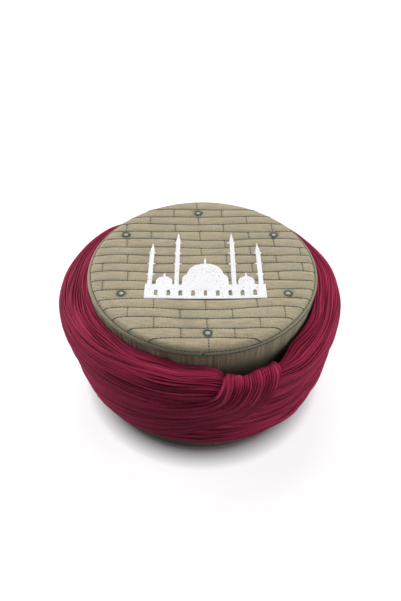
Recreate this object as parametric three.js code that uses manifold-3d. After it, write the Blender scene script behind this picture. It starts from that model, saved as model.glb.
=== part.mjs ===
// An imam turban: a flat-topped quilted cap with a pleated cloth wound round it.
// Millimetres, +Z up. The rim stands on z = 0, the cap's axis is the Z axis and the front looks along -Y.
// Azimuths are in degrees, 0 at the front and 90 at +X.
import * as THREE from "three";
import { mergeVertices } from "three/addons/utils/BufferGeometryUtils.js";
import Module from "manifold-3d";

// Cap
const HEAD_CIRCUMFERENCE = 560; // around the inside of the rim
const HEIGHT = 113; // from the rim to the flat of the crown
const BAND_WALL = 2.2; // cloth and stiffener of the cap's side
const BAND_TAPER = 2; // the outer radius lost between the rim and the crown
const PANEL_THICKNESS = 5; // quilted crown panel, with its padding
const PANEL_SHOULDER = 10; // radial width of the crown's rounded edge
const FIT_GAP = 0.3; // left between neighbouring pieces

// Quilting of the crown panel
const ROW_PITCH = 10.25; // from one sewn row to the next
const ROW_OFFSET = 3; // the first row behind the centre
const QUILT_SKEW = -0.05; // sideways run of the quilting's cross lines, as a share of their run backwards
const SEAM_WIDTH = 1.5;
const SEAM_DEPTH = 0.7;
const EDGE_STITCH_INSET = 2.2; // from the crown's edge to its ring of topstitching

// Sewn eyelets, one row centre each; side is a share of the eyelet circle's radius
const EYELET_HOLE_RADIUS = 2.2;
const EYELET_DEPTH = 1.5; // down to the pale interlining that shows in it
const EYELET_WIDTH = 2; // radial width of the sewn ring
const EYELET_HEIGHT = 0.8;
const EYELET_CIRCLE_RADIUS = 71.5;
const EYELETS = [
  { name: "eyelet_back", side: 0, rows: 6.5 },
  { name: "eyelet_back_right", side: 0.86, rows: 3.5 },
  { name: "eyelet_front_right", side: 0.872, rows: -3.5 },
  { name: "eyelet_front", side: 0, rows: -7.5 },
  { name: "eyelet_front_left", side: -0.872, rows: -3.5 },
  { name: "eyelet_back_left", side: -0.86, rows: 3.5 },
];

// Embroidered motif: a plain domed hall with four slim towers
const MOTIF_WIDTH = 91;
const MOTIF_THICKNESS = 0.9;
const MOTIF_X = 2.2; // its middle
const MOTIF_BASE_Y = -38.4;
const HALL_HEIGHT = 16;
const WINDOW_WIDTH = 3;
const WINDOW_HEIGHT = 8;
const WINDOW_SILL = 3.5;
const WINDOW_COUNT = 9;
// across: distance from the middle; base and radius: the drum's height and the dome's size. All are
// shares of the motif's half width.
const DOMES = [
  { across: 0, base: 0.6, radius: 0.31 },
  { across: 0.26, base: 0.5, radius: 0.13 },
  { across: -0.26, base: 0.5, radius: 0.13 },
  { across: 0.69, base: 0.42, radius: 0.14 },
  { across: -0.69, base: 0.42, radius: 0.14 },
];
const TOWER_WIDTH = 3.6;
const TOWER_TIP = 11; // height of a tower's pointed cap
const BALCONY_OVERHANG = 1.1;
const BALCONY_HEIGHT = 2.4;
const BALCONY_PITCH = 13;
const FINIAL_WIDTH = 1.3;
const FINIAL_TIP = 3;
const TOWER = { width: TOWER_WIDTH, tip: TOWER_TIP };
const FINIAL = { width: FINIAL_WIDTH, tip: FINIAL_TIP };
// across and height: shares of the motif's half width. balconies: how many rings it carries.
const SPIRES = [
  { across: 0.93, height: 1.467, balconies: 3, form: TOWER },
  { across: -0.93, height: 1.467, balconies: 3, form: TOWER },
  { across: 0.48, height: 1.756, balconies: 3, form: TOWER },
  { across: -0.48, height: 1.756, balconies: 3, form: TOWER },
  { across: 0, height: 1.067, balconies: 0, form: FINIAL },
  { across: 0.69, height: 0.667, balconies: 0, form: FINIAL },
  { across: -0.69, height: 0.667, balconies: 0, form: FINIAL },
];

// Wound cloth
const WRAP_BOTTOM = 7; // height of its lower edge above the rim
const WRAP_TOP = 100; // height of its upper edge
const WRAP_DEPTH = 23; // how far the winding stands out from the cap at its fullest
const WRAP_LEAN = 0.06; // share by which it is fuller on the left and slimmer on the right
const WRAP_LOW_LEAN = -0.1; // the same near its lower edge
const PRESS = 0.11; // share by which it is pressed flat under the sash
const FOLD_DEPTH = 2.2; // of the deepest main fold
const LIP_WIDTH = 2.4; // roundness of the winding's upper edge
const POCKET_DEPTH = 24; // how far the hollow behind the tuck reaches down
const POCKET_WIDTH = 11; // how far the upper edge stands off the cap there
const POCKET_DIP = 8.5; // how far the upper edge sinks under the tucked cloth
// Azimuths between which the hollow opens and closes, the edge sinks and rises, and the sash presses
const POCKET = { start: -4, full_from: 11, full_to: 29, end: 44 };
const DIP = { start: -9, full_from: 11, full_to: 29, end: 70 };
const PRESSED = { start: -85, full_from: -40, full_to: 20, end: 44 };
// The winding's outer section. rise: share of its height, reach: share of its depth.
const WRAP_SECTION = [
  { rise: 1.0, reach: 0.04 },
  { rise: 0.99, reach: 0.4 },
  { rise: 0.963, reach: 0.71 },
  { rise: 0.907, reach: 0.92 },
  { rise: 0.819, reach: 1.0 },
  { rise: 0.688, reach: 0.945 },
  { rise: 0.535, reach: 0.82 },
  { rise: 0.361, reach: 0.71 },
  { rise: 0.218, reach: 0.575 },
  { rise: 0.142, reach: 0.475 },
  { rise: 0.066, reach: 0.33 },
  { rise: 0.0, reach: 0.15 },
];
// Main folds of the winding. at: share of the way from its upper to its lower edge at the back and on
// the left; right: the same just right of the tuck; depth: share of FOLD_DEPTH.
const WRAP_FOLDS = [
  { at: 0.0, right: 0.0, depth: 0.0 },
  { at: 0.075, right: 0.09, depth: 0.6 },
  { at: 0.155, right: 0.185, depth: 0.85 },
  { at: 0.25, right: 0.3, depth: 0.7 },
  { at: 0.345, right: 0.41, depth: 1.0 },
  { at: 0.45, right: 0.51, depth: 0.65 },
  { at: 0.55, right: 0.595, depth: 0.9 },
  { at: 0.655, right: 0.685, depth: 0.7 },
  { at: 0.755, right: 0.77, depth: 0.9 },
  { at: 0.855, right: 0.86, depth: 0.6 },
  { at: 0.935, right: 0.935, depth: 0.5 },
  { at: 1.0, right: 1.0, depth: 0.0 },
];
const RIGHT_SWAY_FROM = 28; // azimuths between which the right side's folds rise back to level
const RIGHT_SWAY_TO = 85;
const HIDDEN_SWAY_FROM = 2; // azimuths, under the sash, between which they come down

// Tucked end: the last turn of the cloth, swept up over the winding's upper edge and pushed in behind it
const SASH_THICKNESS = 4.2;
const SASH_TAIL_THICKNESS = 1.2; // where it settles into the winding
const SASH_EDGE_THICKNESS = 1.4;
const SASH_CLEARANCE = 0.5; // above the winding's folds
const SASH_EDGE_LIFT = 0.5; // the underside's rounding at both edges
const SASH_FOLD_DEPTH = 1.3;
// Stations along the sash, from the pocket to its tail. upper, lower: azimuths of its two edges;
// upper_at, lower_at: shares of the way down the winding's section, below 0 inside the pocket.
const SASH_STATIONS = [
  { upper: 11.3, upper_at: -0.11, lower: 30, lower_at: -0.11 },
  { upper: 10.8, upper_at: -0.06, lower: 31.2, lower_at: -0.06 },
  { upper: 10.3, upper_at: -0.02, lower: 31.8, lower_at: -0.02 },
  { upper: 9.9, upper_at: 0, lower: 32, lower_at: 0 },
  { upper: 9.5, upper_at: 0.03, lower: 31.9, lower_at: 0.035 },
  { upper: 8.6, upper_at: 0.08, lower: 31, lower_at: 0.105 },
  { upper: 7.7, upper_at: 0.135, lower: 29.6, lower_at: 0.185 },
  { upper: 6.4, upper_at: 0.19, lower: 28.2, lower_at: 0.26 },
  { upper: 4.4, upper_at: 0.245, lower: 26.4, lower_at: 0.345 },
  { upper: 0.6, upper_at: 0.29, lower: 23.3, lower_at: 0.43 },
  { upper: -5.5, upper_at: 0.325, lower: 18, lower_at: 0.51 },
  { upper: -13.5, upper_at: 0.36, lower: 11, lower_at: 0.565 },
  { upper: -22.5, upper_at: 0.395, lower: 2, lower_at: 0.645 },
  { upper: -33, upper_at: 0.43, lower: -9, lower_at: 0.735 },
  { upper: -45, upper_at: 0.455, lower: -21, lower_at: 0.82 },
  { upper: -58, upper_at: 0.47, lower: -34, lower_at: 0.895 },
  { upper: -72, upper_at: 0.48, lower: -47, lower_at: 0.95 },
];
const SASH_FULL_SHARE = 0.55; // share of its stations before it starts to thin towards its tail
const SASH_FOLDS = [
  { at: 0.0, depth: 0.0 },
  { at: 0.2, depth: 0.8 },
  { at: 0.4, depth: 1.0 },
  { at: 0.6, depth: 0.8 },
  { at: 0.8, depth: 1.0 },
  { at: 1.0, depth: 0.0 },
];

// Fineness of the round shapes
const SEGMENTS = 60;
const EYELET_SIDES = 12;
const ARC_POINTS = 10; // along each dome of the motif
const SASH_SECTIONS = 31; // cross sections along the sash

const CREST_SINK = 0.08; // share of a fold's depth still left at its crests
const RIM_INNER_RADIUS = HEAD_CIRCUMFERENCE / (2 * Math.PI);
const RIM_RADIUS = RIM_INNER_RADIUS + BAND_WALL;
const CROWN_RADIUS = RIM_RADIUS - BAND_TAPER;
const BAND_TOP = HEIGHT - PANEL_THICKNESS - FIT_GAP;

const KHAKI = new THREE.MeshStandardMaterial({ color: 0xb3a683, roughness: 0.85, metalness: 0 });
const KHAKI_SIDE = new THREE.MeshStandardMaterial({ color: 0x8f8769, roughness: 0.85, metalness: 0 });
const THREAD_GREEN = new THREE.MeshStandardMaterial({ color: 0x3d4a42, roughness: 0.6, metalness: 0 });
const THREAD_WHITE = new THREE.MeshStandardMaterial({ color: 0xf2f2f4, roughness: 0.5, metalness: 0 });
const BURGUNDY = new THREE.MeshStandardMaterial({ color: 0x7c1f3c, roughness: 0.7, metalness: 0 });

const wasm = await Module();
wasm.setup();

function solidFrom(geometry) {
  const bare = geometry.clone();
  bare.deleteAttribute("normal");
  bare.deleteAttribute("uv");
  const merged = mergeVertices(bare, 1e-4);
  return new wasm.Manifold(
    new wasm.Mesh({
      numProp: 3,
      vertProperties: merged.attributes.position.array,
      triVerts: new Uint32Array(merged.index.array),
    }),
  );
}

function geometryFrom(solid) {
  const mesh = solid.getMesh();
  const geometry = new THREE.BufferGeometry();
  geometry.setAttribute("position", new THREE.BufferAttribute(mesh.vertProperties, 3));
  geometry.setIndex(new THREE.BufferAttribute(mesh.triVerts, 1));
  return geometry;
}

function named(name, geometry, material) {
  const mesh = new THREE.Mesh(geometry, material);
  mesh.name = name;
  return mesh;
}

// A profile of [radius, height] points turned about the Z axis, with its first point at the front.
function turned(profile, segments = SEGMENTS) {
  const points = profile.map(([radius, height]) => new THREE.Vector2(radius, height));
  return new THREE.LatheGeometry(points, segments).rotateX(Math.PI / 2);
}

function easeBetween(from, to, value) {
  return THREE.MathUtils.smoothstep(value, from, to);
}

// Outer radius of the cap's side at a height.
function bandRadius(height) {
  return RIM_RADIUS - (BAND_TAPER * height) / HEIGHT;
}

// Joins rings of points into one closed surface. Each section is a closed loop of as many points;
// the last section joins the first one if the surface is a ring, and is capped if it isn't.
function loft(sections, isRing) {
  const count = sections[0].length;
  const index = [];
  const quad = (a, b, c, d) => index.push(a, b, c, a, c, d);
  const spans = isRing ? sections.length : sections.length - 1;
  for (let i = 0; i < spans; i++) {
    const here = i * count;
    const next = ((i + 1) % sections.length) * count;
    for (let j = 0; j < count; j++) {
      const k = (j + 1) % count;
      quad(here + j, next + j, next + k, here + k);
    }
  }
  if (!isRing) {
    const last = (sections.length - 1) * count;
    for (let j = 0; j < count / 2 - 1; j++) {
      const far = count - 1 - j;
      quad(j, j + 1, far - 1, far);
      quad(last + j, last + far, last + far - 1, last + j + 1);
    }
  }
  const geometry = new THREE.BufferGeometry().setFromPoints(sections.flat());
  geometry.setIndex(index);
  return geometry;
}

function sideBand() {
  return turned([
    [RIM_INNER_RADIUS, 0],
    [RIM_RADIUS, 0],
    [bandRadius(BAND_TOP), BAND_TOP],
    [bandRadius(BAND_TOP) - BAND_WALL, BAND_TOP],
    [RIM_INNER_RADIUS, 0],
  ]);
}

const rowY = (row) => ROW_OFFSET + row * ROW_PITCH;

function eyeletPlace({ side, rows }) {
  const y = rowY(rows);
  return [side * EYELET_CIRCLE_RADIUS + QUILT_SKEW * y, y];
}

function crownPanel() {
  const under = HEIGHT - PANEL_THICKNESS;
  const flat = CROWN_RADIUS - PANEL_SHOULDER;
  const stitch = CROWN_RADIUS - EDGE_STITCH_INSET;
  // The shoulder is a quarter of an ellipse, dented where the ring of topstitching pulls it in.
  const shoulder = (radius) => {
    const out = (radius - flat) / PANEL_SHOULDER;
    return HEIGHT - PANEL_THICKNESS * 0.9 * (1 - Math.sqrt(1 - out * out));
  };
  let panel = solidFrom(
    turned([
      [0, under],
      [CROWN_RADIUS, under],
      [CROWN_RADIUS, shoulder(CROWN_RADIUS)],
      [stitch + SEAM_WIDTH, shoulder(stitch + SEAM_WIDTH)],
      [stitch, shoulder(stitch) - SEAM_DEPTH],
      [stitch - SEAM_WIDTH, shoulder(stitch - SEAM_WIDTH)],
      [(flat + stitch) / 2, shoulder((flat + stitch) / 2)],
      [flat, HEIGHT],
      [0, HEIGHT],
    ]),
  );
  const groove = new THREE.Shape([
    new THREE.Vector2(-SEAM_WIDTH / 2, 0),
    new THREE.Vector2(0, -SEAM_DEPTH),
    new THREE.Vector2(SEAM_WIDTH / 2, 0),
    new THREE.Vector2(SEAM_WIDTH / 2, SEAM_DEPTH),
    new THREE.Vector2(-SEAM_WIDTH / 2, SEAM_DEPTH),
  ]);
  const lastRow = Math.ceil(stitch / ROW_PITCH) + 1;
  for (let row = -lastRow; row <= lastRow; row++) {
    const y = rowY(row);
    if (Math.abs(y) > stitch - ROW_PITCH / 2) continue;
    const length = 2 * Math.sqrt(stitch * stitch - y * y);
    const cut = new THREE.ExtrudeGeometry(groove, { depth: length, bevelEnabled: false })
      .translate(0, 0, -length / 2)
      .rotateX(Math.PI / 2)
      .rotateZ(Math.PI / 2)
      .translate(0, y, HEIGHT);
    panel = panel.subtract(solidFrom(cut));
  }
  for (const eyelet of EYELETS) {
    const [x, y] = eyeletPlace(eyelet);
    const middle = HEIGHT - EYELET_DEPTH + PANEL_THICKNESS;
    const drill = new THREE.CylinderGeometry(
      EYELET_HOLE_RADIUS,
      EYELET_HOLE_RADIUS,
      PANEL_THICKNESS * 2,
      EYELET_SIDES,
    );
    panel = panel.subtract(solidFrom(drill.rotateX(Math.PI / 2).translate(x, y, middle)));
  }
  return geometryFrom(panel);
}

// A sewn ring round each eyelet: a low band with a rounded back.
function eyeletRing() {
  const outer = EYELET_HOLE_RADIUS + EYELET_WIDTH;
  return turned(
    [
      [EYELET_HOLE_RADIUS, 0],
      [outer, 0],
      [outer - EYELET_WIDTH * 0.2, EYELET_HEIGHT * 0.75],
      [outer - EYELET_WIDTH * 0.5, EYELET_HEIGHT],
      [EYELET_HOLE_RADIUS, EYELET_HEIGHT * 0.6],
      [EYELET_HOLE_RADIUS, 0],
    ],
    EYELET_SIDES,
  );
}

// Height of the hall's roof and domes, at a distance from the motif's middle.
function roofHeight(x) {
  const half = MOTIF_WIDTH / 2;
  const domes = DOMES.map(({ across, base, radius }) => {
    const off = (x - across * half) / (radius * half);
    return Math.abs(off) < 1 ? half * (base + radius * Math.sqrt(1 - off * off)) : 0;
  });
  return Math.max(HALL_HEIGHT, ...domes);
}

// The outline of a tower or finial, up its left side and down its right.
function spireOutline({ across, height, balconies, form }) {
  const x = (across * MOTIF_WIDTH) / 2;
  const top = (height * MOTIF_WIDTH) / 2;
  const side = form.width / 2;
  const shoulder = top - form.tip;
  const right = [[side, shoulder]];
  for (let ring = 0; ring < balconies; ring++) {
    const level = shoulder - 1 - ring * BALCONY_PITCH;
    right.push([side, level]);
    right.push([side + BALCONY_OVERHANG, level - BALCONY_HEIGHT * 0.3]);
    right.push([side + BALCONY_OVERHANG, level - BALCONY_HEIGHT * 0.6]);
    right.push([side, level - BALCONY_HEIGHT]);
  }
  right.push([side, roofHeight(x + side)]);
  const left = right.map(([off, y]) => [-off, y]).reverse();
  return [...left, [0, top], ...right].map(([off, y]) => new THREE.Vector2(x + off, y));
}

function motif() {
  const half = MOTIF_WIDTH / 2;
  const stops = [-half, half];
  for (const { across, radius } of DOMES) {
    for (let i = 0; i <= ARC_POINTS; i++) {
      stops.push(half * (across + radius * Math.cos((i * Math.PI) / ARC_POINTS)));
    }
  }
  const free = (x) => SPIRES.every(({ across, form }) => Math.abs(x - across * half) > form.width / 2 + 0.2);
  const roof = stops.filter(free).map((x) => [new THREE.Vector2(x, roofHeight(x))]);
  const pieces = [...roof, ...SPIRES.map(spireOutline)];
  pieces.sort((a, b) => a[0].x - b[0].x);
  const skyline = [new THREE.Vector2(-half, 0), ...pieces.flat(), new THREE.Vector2(half, 0)];
  const bends = (point, i) => {
    if (i === 0 || i === skyline.length - 1) return true;
    const into = point.clone().sub(skyline[i - 1]);
    return Math.abs(into.cross(skyline[i + 1].clone().sub(point))) > 0.02;
  };
  const plate = (shape, depth) =>
    new THREE.ExtrudeGeometry(shape, { depth, bevelEnabled: false, curveSegments: 4 });
  let solid = solidFrom(plate(new THREE.Shape(skyline.filter(bends)), MOTIF_THICKNESS));
  for (let i = 0; i < WINDOW_COUNT; i++) {
    const x = half * 0.82 * ((2 * i) / (WINDOW_COUNT - 1) - 1);
    const window = new THREE.Shape();
    window.moveTo(x - WINDOW_WIDTH / 2, WINDOW_SILL);
    window.lineTo(x + WINDOW_WIDTH / 2, WINDOW_SILL);
    window.lineTo(x + WINDOW_WIDTH / 2, WINDOW_HEIGHT);
    window.absarc(x, WINDOW_HEIGHT, WINDOW_WIDTH / 2, 0, Math.PI, false);
    solid = solid.subtract(solidFrom(plate(window, 3 * MOTIF_THICKNESS).translate(0, 0, -MOTIF_THICKNESS)));
  }
  return geometryFrom(solid);
}

const wrapSection = new THREE.SplineCurve(
  WRAP_SECTION.map(({ rise, reach }) => new THREE.Vector2(reach * WRAP_DEPTH, rise * (WRAP_TOP - WRAP_BOTTOM))),
);
const wrapSectionLength = wrapSection.getLength();

// 1 in the full part of a span of azimuths, easing to 0 at its ends.
function within(span, azimuth) {
  const rising = easeBetween(span.start, span.full_from, azimuth);
  return rising * (1 - easeBetween(span.full_to, span.end, azimuth));
}

// The wrap's smooth surface: how far out from the cap and how high it is, at an azimuth and a share of
// the way down its section. Below 0 the share runs over the upper edge and down inside the pocket.
function wrapSurface(azimuth, share) {
  const open = within(POCKET, azimuth);
  const down = THREE.MathUtils.clamp(share, 0, 1);
  const side = Math.sin(THREE.MathUtils.degToRad(azimuth));
  const slant = THREE.MathUtils.lerp(WRAP_LEAN, WRAP_LOW_LEAN, easeBetween(0.35, 0.85, down));
  const lean = 1 - slant * side - PRESS * within(PRESSED, azimuth);
  const point = wrapSection.getPointAt(down);
  const fullest = WRAP_DEPTH * lean;
  const stand = ((POCKET_WIDTH * open) / fullest) * (1 - easeBetween(0.12, 0.5, down));
  let out = fullest * stand + point.x * lean * (1 - stand);
  let height = WRAP_BOTTOM + point.y - POCKET_DIP * within(DIP, azimuth) * Math.pow(1 - down, 6);
  if (share < 0) {
    const inside = -share * wrapSectionLength;
    const turn = Math.min(inside / LIP_WIDTH, 1);
    out -= (LIP_WIDTH / 2) * Math.sin((turn * Math.PI) / 2);
    height -= Math.max(inside - LIP_WIDTH / 2, 0);
  }
  return new THREE.Vector2(out, height);
}

// A point on the wrap, lifted off its smooth surface by a distance.
function wrapPoint(azimuth, share, lift) {
  const step = 0.004;
  const here = wrapSurface(azimuth, share);
  const along = wrapSurface(azimuth, share + step).sub(wrapSurface(azimuth, share - step)).normalize();
  const out = here.x - along.y * lift;
  const height = here.y + along.x * lift;
  const radius = bandRadius(height) + out;
  const angle = THREE.MathUtils.degToRad(azimuth);
  return new THREE.Vector3(radius * Math.sin(angle), -radius * Math.cos(angle), height);
}

// The rows of a folded surface: each fold line, and two crests between it and the next.
function foldRows(folds, place) {
  const rows = [];
  folds.slice(0, -1).forEach((fold, i) => {
    const next = folds[i + 1];
    const between = (t) => THREE.MathUtils.lerp(place(fold), place(next), t);
    rows.push({ at: place(fold), sink: fold.depth });
    rows.push({ at: between(1 / 3), sink: CREST_SINK });
    rows.push({ at: between(2 / 3), sink: CREST_SINK });
  });
  const last = folds.at(-1);
  rows.push({ at: place(last), sink: last.depth });
  return rows;
}

// 0 where the folds lie level, 1 where they dip, just right of the tuck.
function rightSway(azimuth) {
  return (
    easeBetween(HIDDEN_SWAY_FROM, RIGHT_SWAY_FROM, azimuth) *
    (1 - easeBetween(RIGHT_SWAY_FROM, RIGHT_SWAY_TO, azimuth))
  );
}

function wrap() {
  const sections = [];
  for (let i = 0; i < SEGMENTS; i++) {
    const azimuth = 180 - (i * 360) / SEGMENTS;
    const sway = rightSway(azimuth);
    const outer = foldRows(WRAP_FOLDS, ({ at, right }) => THREE.MathUtils.lerp(at, right, sway)).map(
      ({ at, sink }) => wrapPoint(azimuth, at, -sink * FOLD_DEPTH),
    );
    const lip = wrapSurface(azimuth, 0);
    const inside = (out, height) => {
      const radius = bandRadius(height) + out;
      const angle = THREE.MathUtils.degToRad(azimuth);
      return new THREE.Vector3(radius * Math.sin(angle), -radius * Math.cos(angle), height);
    };
    const pocketWall = Math.max(lip.x - LIP_WIDTH / 2, FIT_GAP);
    sections.push([
      ...outer,
      inside(FIT_GAP, WRAP_BOTTOM),
      inside(FIT_GAP, WRAP_TOP - POCKET_DEPTH),
      inside(pocketWall, WRAP_TOP - POCKET_DEPTH * 0.9),
      inside(pocketWall, lip.y - LIP_WIDTH / 2),
    ]);
  }
  return loft(sections, true);
}

const sashUpperEdge = new THREE.SplineCurve(
  SASH_STATIONS.map(({ upper, upper_at }) => new THREE.Vector2(upper, upper_at)),
);
const sashLowerEdge = new THREE.SplineCurve(
  SASH_STATIONS.map(({ lower, lower_at }) => new THREE.Vector2(lower, lower_at)),
);

function tuckedEnd() {
  const sections = [];
  for (let i = 0; i < SASH_SECTIONS; i++) {
    const along = i / (SASH_SECTIONS - 1);
    const upper = sashUpperEdge.getPoint(along);
    const lower = sashLowerEdge.getPoint(along);
    const thinning = easeBetween(SASH_FULL_SHARE, 1, along);
    const thickness = THREE.MathUtils.lerp(SASH_THICKNESS, SASH_TAIL_THICKNESS, thinning);
    const rows = foldRows(SASH_FOLDS, ({ at }) => at);
    const isEdge = (row) => row === 0 || row === rows.length - 1;
    const edge = Math.min(SASH_EDGE_THICKNESS, thickness);
    const point = (at, lift) => {
      const place = upper.clone().lerp(lower, at);
      return wrapPoint(place.x, place.y, lift);
    };
    const outer = rows.map(({ at, sink }, row) => {
      const height = thickness - sink * SASH_FOLD_DEPTH * (thickness / SASH_THICKNESS);
      return point(at, SASH_CLEARANCE + (isEdge(row) ? edge : height));
    });
    const inner = rows.map(({ at }, row) => point(at, SASH_CLEARANCE + (isEdge(row) ? SASH_EDGE_LIFT : 0)));
    inner.reverse();
    sections.push([...outer, ...inner]);
  }
  return loft(sections, false);
}

const turban = new THREE.Group();
turban.name = "imam_turban";

const cap = new THREE.Group();
cap.add(named("side_band", sideBand(), KHAKI_SIDE));
cap.add(named("crown_panel", crownPanel(), KHAKI));
for (const eyelet of EYELETS) {
  const [x, y] = eyeletPlace(eyelet);
  const ring = named(eyelet.name, eyeletRing(), THREAD_GREEN);
  ring.position.set(x, y, HEIGHT + FIT_GAP);
  cap.add(ring);
}
const embroidery = named("embroidered_motif", motif(), THREAD_WHITE);
embroidery.position.set(MOTIF_X, MOTIF_BASE_Y, HEIGHT + FIT_GAP);
cap.add(embroidery);
turban.add(cap);

const windings = new THREE.Group();
windings.add(named("wrap", wrap(), BURGUNDY));
windings.add(named("tucked_end", tuckedEnd(), BURGUNDY));
turban.add(windings);

export default turban;
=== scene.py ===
"""The imam turban's looks: a quilted cap with an embroidered crown, and the muslin wound round it.

Lengths in the tables and functions are millimetres; meshes are made in metres. The cap's axis is Z, the rim
stands on z = 0 and the front looks along -Y. Azimuths are degrees, 0 at the front and 90 at +X. The cap's
sizes and the winding's section repeat those of the CAD model; the winding's edges and pleats are finer here.
"""
import math

import bpy
import numpy as np
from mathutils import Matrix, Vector


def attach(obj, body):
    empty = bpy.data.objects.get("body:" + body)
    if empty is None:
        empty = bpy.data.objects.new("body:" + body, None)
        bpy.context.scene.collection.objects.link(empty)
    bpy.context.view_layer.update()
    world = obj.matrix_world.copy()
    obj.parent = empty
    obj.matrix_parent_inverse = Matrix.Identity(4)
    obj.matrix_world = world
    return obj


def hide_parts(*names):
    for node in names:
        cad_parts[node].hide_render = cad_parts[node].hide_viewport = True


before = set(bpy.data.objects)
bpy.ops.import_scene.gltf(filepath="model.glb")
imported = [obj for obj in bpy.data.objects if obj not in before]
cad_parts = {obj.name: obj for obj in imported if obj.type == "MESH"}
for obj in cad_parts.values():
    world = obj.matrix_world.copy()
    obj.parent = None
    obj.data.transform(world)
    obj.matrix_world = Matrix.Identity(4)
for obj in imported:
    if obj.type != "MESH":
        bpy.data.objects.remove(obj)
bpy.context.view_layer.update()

# Sizes of the cap, as in the CAD model
HEAD_CIRCUMFERENCE = 560.0
HEIGHT = 113.0
BAND_WALL = 2.2
BAND_TAPER = 2.0
PANEL_THICKNESS = 5.0
PANEL_SHOULDER = 10.0
RIM_RADIUS = HEAD_CIRCUMFERENCE / (2 * math.pi) + BAND_WALL
CROWN_RADIUS = RIM_RADIUS - BAND_TAPER
SEAM_HEIGHT = HEIGHT - PANEL_THICKNESS

# The padded crown: its shoulder's fall, the two powers of its rounding, and the dish in its middle
PANEL_TOP = HEIGHT + 0.1
CROWN_OVERHANG = 0.9
SHOULDER_FALL = 5.4
SHOULDER_OUT = 2.4
SHOULDER_DOWN = 0.42
DISH_DEPTH = 1.9

# The quilting: sewn rows, short cross seams between them, and the ring of topstitching
ROW_PITCH = 10.25
ROW_OFFSET = 3.0
ROW_DEPTH = 0.85
ROW_ROUNDING = 0.45
ROW_SHARES = [0.0, 0.05, 0.12, 0.22, 0.36, 0.5, 0.64, 0.78, 0.88, 0.95]
LEFT_DROOP = 4.0  # of the rows' ends towards the front
RIGHT_DROOP = 2.2
QUILT_SKEW = -0.05
BRICK_LENGTH = 38.3
JOINT_DEPTH = 0.42
JOINT_WIDTH = 1.3
FRONT_JOINT_REACH = 10.0
EDGE_STITCH_INSET = 2.2
RING_WIDER = (5, 30, 65, 100)
FRONT_SEAM = (-21, 66)  # where the seam under the crown shows
FRONT_SEAM_DROP = 0.9
CROWN_COLUMNS = 256

# Stitches: length, gap, radius and wobble
ROW_STITCH = (2.7, 0.3, 0.5, 0.05)
JOINT_STITCH = (1.25, 1.3, 0.42, 0.07)
RING_STITCH = (2.6, 0.4, 0.42, 0.04)
FRONT_SEAM_STITCH = (2.2, 0.12, 0.55, 0.02)
CLOSING_STITCH = (2.3, 0.5, 0.26, 0.02)
HEM_STITCH = (2.6, 0.5, 0.28, 0.0)

# The eyelets: name, place across as a share of their circle's radius, and row
EYELET_HOLE_RADIUS = 2.2
EYELET_DEPTH = 1.5
EYELET_WIDTH = 2.0
EYELET_REACH = 4.6  # no quilting stitch lies nearer
EYELET_STITCHES = 34
EYELET_STITCH_RADIUS = 0.3
PURL_RADIUS = 0.32
HOLE_SIDES = 24
EYELET_CIRCLE_RADIUS = 71.5
EYELETS = [
    ("eyelet_back", 0, 6.5),
    ("eyelet_back_right", 0.86, 3.5),
    ("eyelet_front_right", 0.872, -3.5),
    ("eyelet_front", 0, -7.5),
    ("eyelet_front_left", -0.872, -3.5),
    ("eyelet_back_left", -0.86, 3.5),
]
LINING_RINGS = [(2.1, -0.55), (1.7, -0.3), (1.0, -0.12), (0.35, -0.05), (2.1, -1.3)]  # radius and height
LINING_SIDES = 16

# The cap's side
CLOSING_SEAM = 4.6  # azimuth
HEM_STAND = 1.7
HEM_END = (7.5, 10.5)
HEM_STITCH_HEIGHT = 6.2
GATHERED = (-130, -85, -25, 10)
GATHER_DEPTH = 0.34
GATHER_HEIGHTS = (92, 99, 106, 108)
RIPPLE_START = (86, 98)
BAND_COLUMNS = 720

# The winding: its section from the upper edge down, as shares of its rise and depth, as in the CAD model
WRAP_BOTTOM = 7.0
WRAP_TOP = 100.0
WRAP_DEPTH = 23.0
WRAP_SECTION = [
    (1.0, 0.04), (0.99, 0.4), (0.963, 0.71), (0.907, 0.92), (0.819, 1.0), (0.688, 0.945),
    (0.535, 0.82), (0.361, 0.71), (0.218, 0.575), (0.142, 0.475), (0.066, 0.33), (0.0, 0.15),
]
LIP_WIDTH = 2.4
CAP_GAP = 0.35  # the winding's least distance from the cap
WRAP_LEAN = 0.06
WRAP_LOW_LEAN = -0.1
LEAN_CHANGE = (0.35, 0.85)

# How much fuller the winding is: share of its depth, where round the cap, and where on the way down
ALL_THE_WAY = (-2, -1, 2, 3)
SWELLS = [
    (-0.11, (-85, -40, 20, 44), ALL_THE_WAY),
    (0.07, (-170, -110, -75, -25), ALL_THE_WAY),
    (-0.09, (95, 120, 150, 178), ALL_THE_WAY),
    (0.19, (5, 25, 45, 68), (0.74, 0.92, 2, 3)),
    (-0.07, (-60, -40, -18, 0), (0.75, 0.92, 2, 3)),
    (0.2, (-110, -80, -40, -5), (0.5, 0.88, 0.91, 1.0)),
]
BACK_SLIM = 0.17
BACK_START = (0.55, 1.0)  # shares of the way from the sides to the back
LEFT_BACK_SLIM = 0.34
LEFT_BACK = (-14, 20, 32, 50)  # measured from the middle of the back

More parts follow.
